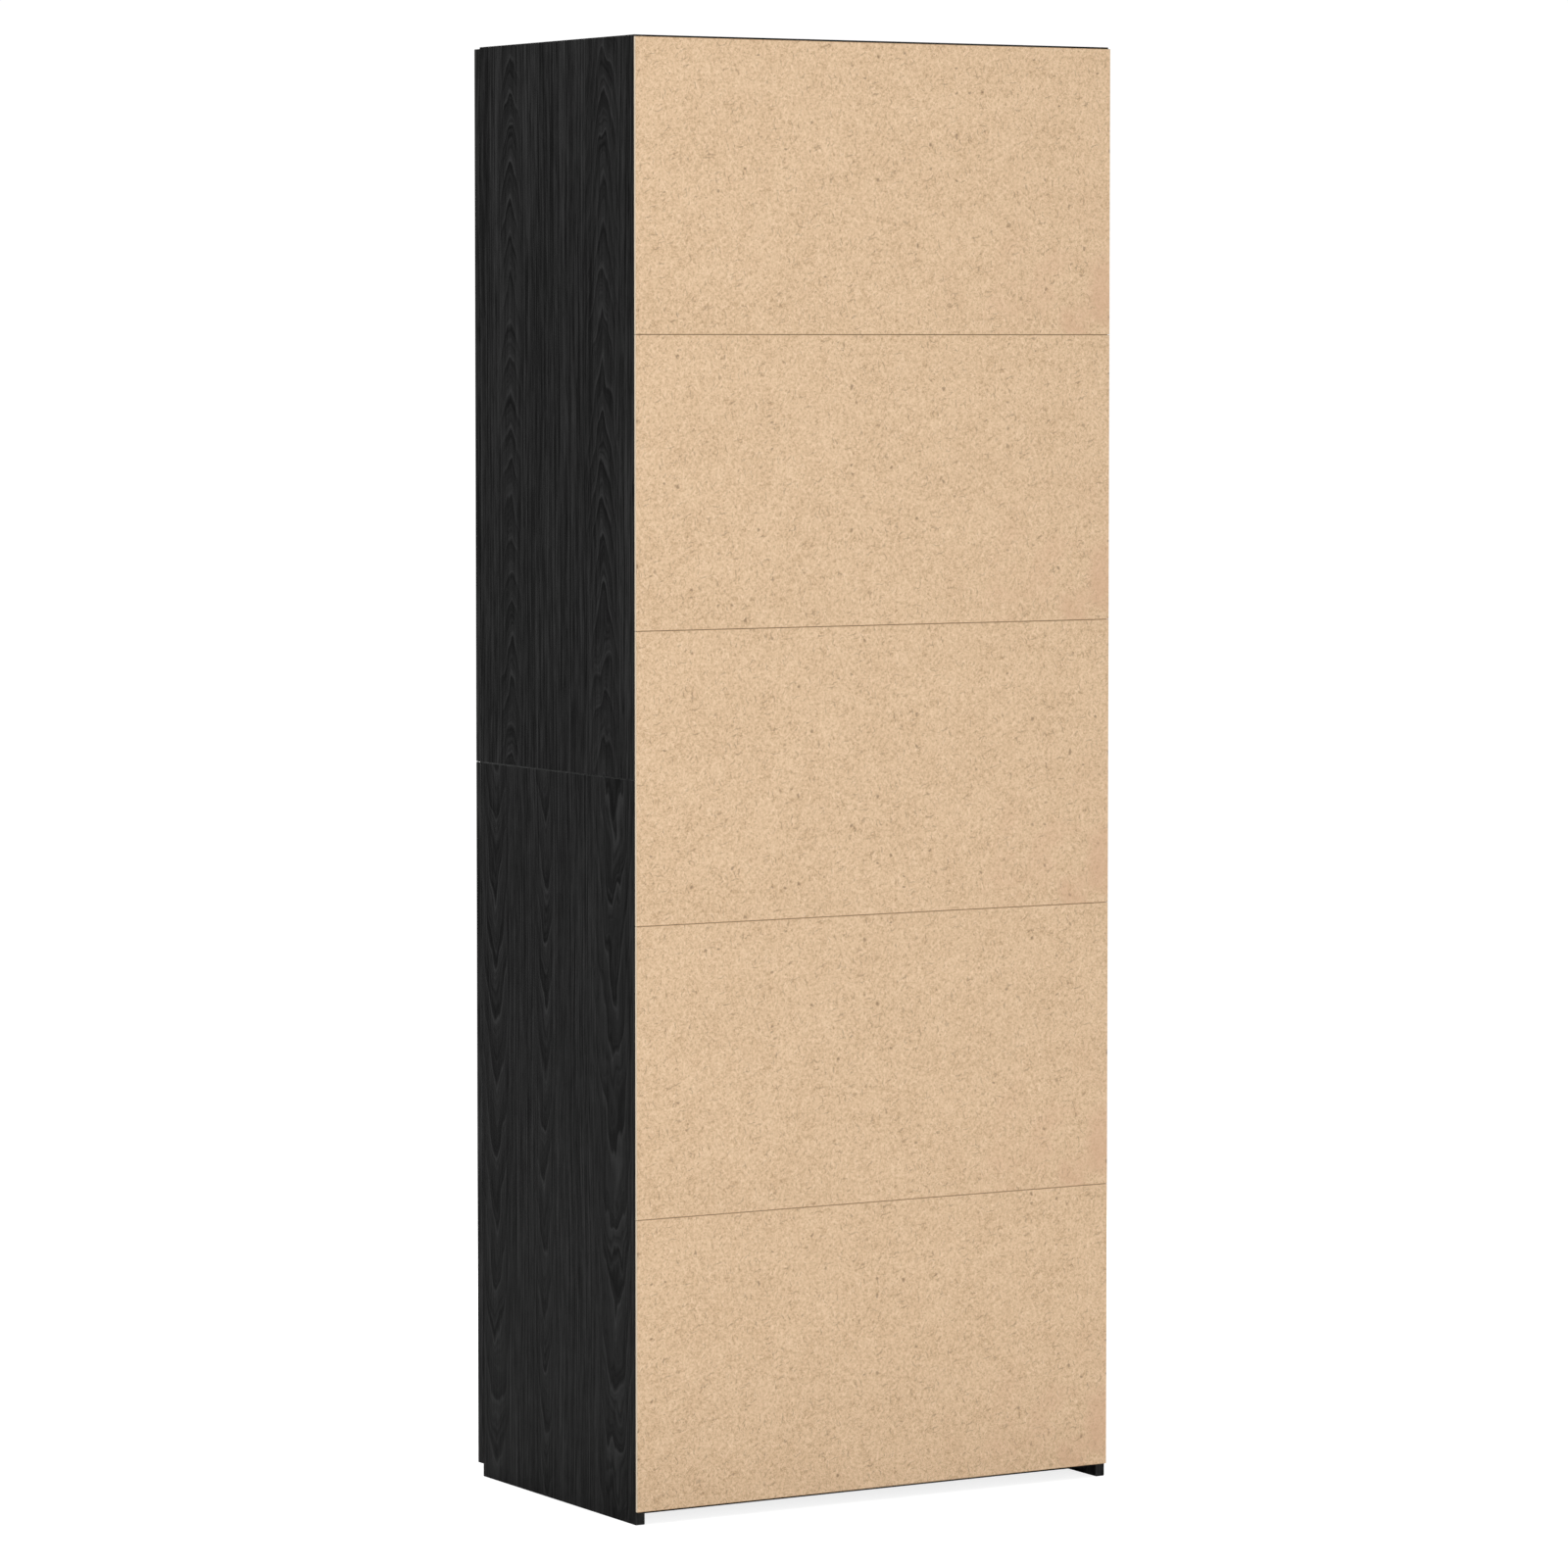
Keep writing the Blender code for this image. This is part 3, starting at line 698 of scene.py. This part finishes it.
def fitting(name, body, finish, copies):
    """One piece made of copies: (mesh, place, the way it faces, turn about that way)."""
    shape = bmesh.new()
    for mesh, place, facing, turn in copies:
        start = len(shape.verts)
        shape.from_mesh(mesh)
        shape.verts.ensure_lookup_table()
        aim = Vector((0, 0, 1)).rotation_difference(Vector(facing)).to_matrix().to_4x4()
        move = Matrix.Translation(place) @ aim @ Matrix.Rotation(turn, 4, "Z")
        bmesh.ops.transform(shape, matrix=move, verts=shape.verts[start:])
    obj = bpy.data.objects.new(name, finished(shape, name))
    bpy.context.scene.collection.objects.link(obj)
    wear(obj, finish)
    smooth(obj)
    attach(obj, body)


SUNK = 0.0001  # how deep the underside of a pad, cover or handle screw sits in its board
PLATE_SCREW_Z = 0.016
PLATE_SCREW_BACK = 0.037  # behind the side panel's front edge
CUP_SCREW_Z = 0.0225
CUP_SCREW_IN = 0.0090  # from the cup's end towards the side panel
CUP_SCREW_SUNK = 0.0002  # in the cup's wing
ARM_SCREW_PLACES = (0.018, 0.046)  # from the arm's front end
ARM_SCREW_SUNK = 0.0006  # in the arm
HANDLE_SCREW_Z = 0.064
COVER_INSET_X = 0.034
COVER_INSET_Y = 0.060
PAD_INSET = 0.0065
WOOD_SCREW = (0.0038, 0.0012)  # radius, height
ARM_SCREW = (0.0030, 0.0009)
HANDLE_SCREW = (0.0042, 0.0021)
COVER = (0.0085, 0.0010)
PAD = (0.0042, 0.0010)


def hinge_fittings(word, piece):
    """A door's hinge screws: in the plates and arms on the case, and in the cups' wings."""
    side = SIDES[word]
    tag = f"{word}_{piece}"
    inward = (-side, 0, 0)
    inner = 0 if side > 0 else 1  # which corner of a box is nearer to the middle
    plate_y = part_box(f"side_panel_{tag}")[0].y + PLATE_SCREW_BACK
    wood_screw = screw_mesh(*WOOD_SCREW)
    arm_screw = screw_mesh(*ARM_SCREW)
    on_case, on_door = [], []
    for number, end in enumerate(ENDS):
        turn = 0.35 + 0.9 * number
        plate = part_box(f"hinge_plate_{tag}_{end}")
        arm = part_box(f"hinge_arm_{tag}_{end}")
        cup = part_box(f"hinge_cup_{tag}_{end}")
        z = (plate[0].z + plate[1].z) / 2
        for way in (-1, 1):
            place = (plate[inner].x, plate_y, z + way * PLATE_SCREW_Z)
            on_case.append((wood_screw, place, inward, turn + way))
        for back in ARM_SCREW_PLACES:
            place = (arm[inner].x + side * ARM_SCREW_SUNK, arm[0].y + back, z)
            on_case.append((arm_screw, place, inward, turn + 40 * back))
        x = cup[inner].x + side * CUP_SCREW_IN
        y = cup[1].y - CUP_SCREW_SUNK
        for way in (-1, 1):
            place = (x, y, z + way * CUP_SCREW_Z)
            on_door.append((wood_screw, place, (0, 1, 0), turn + 2 * way))
    fitting(f"hinge_case_screws_{tag}", "root", zinc, on_case)
    fitting(f"hinge_cup_screws_{tag}", f"{tag}_door", zinc, on_door)


def door_fittings(word, piece):
    """Inside a door: its handle's screws, and a soft pad where it closes on the case."""
    side = SIDES[word]
    tag = f"{word}_{piece}"
    low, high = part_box(f"door_{tag}")
    handle_low, handle_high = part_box(f"handle_{tag}")
    x = (handle_low.x + handle_high.x) / 2
    y = high.y - SUNK
    z = (handle_low.z + handle_high.z) / 2
    head = screw_mesh(*HANDLE_SCREW)
    copies = [
        (head, (x, y, z + way * HANDLE_SCREW_Z), (0, 1, 0), way * 0.6)
        for way in (-1, 1)
    ]
    fitting(f"handle_screws_{tag}", f"{tag}_door", zinc, copies)
    x = side * (min(abs(low.x), abs(high.x)) + 2 * PAD_INSET)
    z = high.z - PAD_INSET if piece == "upper" else low.z + PAD_INSET
    pad = finished(rings_mesh(PAD_RINGS, *PAD), "pad")
    copies = [(pad, (x, y, z), (0, 1, 0), 0.0)]
    fitting(f"door_pad_{tag}", f"{tag}_door", moulded, copies)


def cover_fittings(name):
    """The covers over a board's four cam locks, on its underside."""
    low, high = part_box(name)
    cover = finished(rings_mesh(COVER_RINGS, *COVER), "cover")
    copies = [
        (cover, (x, y, low.z + SUNK), (0, 0, -1), 0.0)
        for x in (low.x + COVER_INSET_X, high.x - COVER_INSET_X)
        for y in (low.y + COVER_INSET_Y, high.y - COVER_INSET_Y)
    ]
    fitting(f"cam_covers_{name}", "root", moulded, copies)


make_camera()
make_studio()
steel = metal("nickel_plated_steel", (0.74, 0.72, 0.69), 0.38, 3.0, metallic=0.88)
zinc = metal("zinc_plated_screws", (0.78, 0.78, 0.77), 0.32, 8.0, metallic=0.9)
coated = metal("black_powder_coat", (0.020, 0.020, 0.020), 0.44, 5.0, metallic=0.0)
moulded = plastic("black_moulded_plastic", (0.018, 0.018, 0.018), 0.50, 6.0)
finish_boards()
finish_back()
finish_hardware()
for word in SIDES:
    for piece in PIECES:
        hinge_fittings(word, piece)
        door_fittings(word, piece)
for name in LEVEL_BOARDS:
    cover_fittings(name)
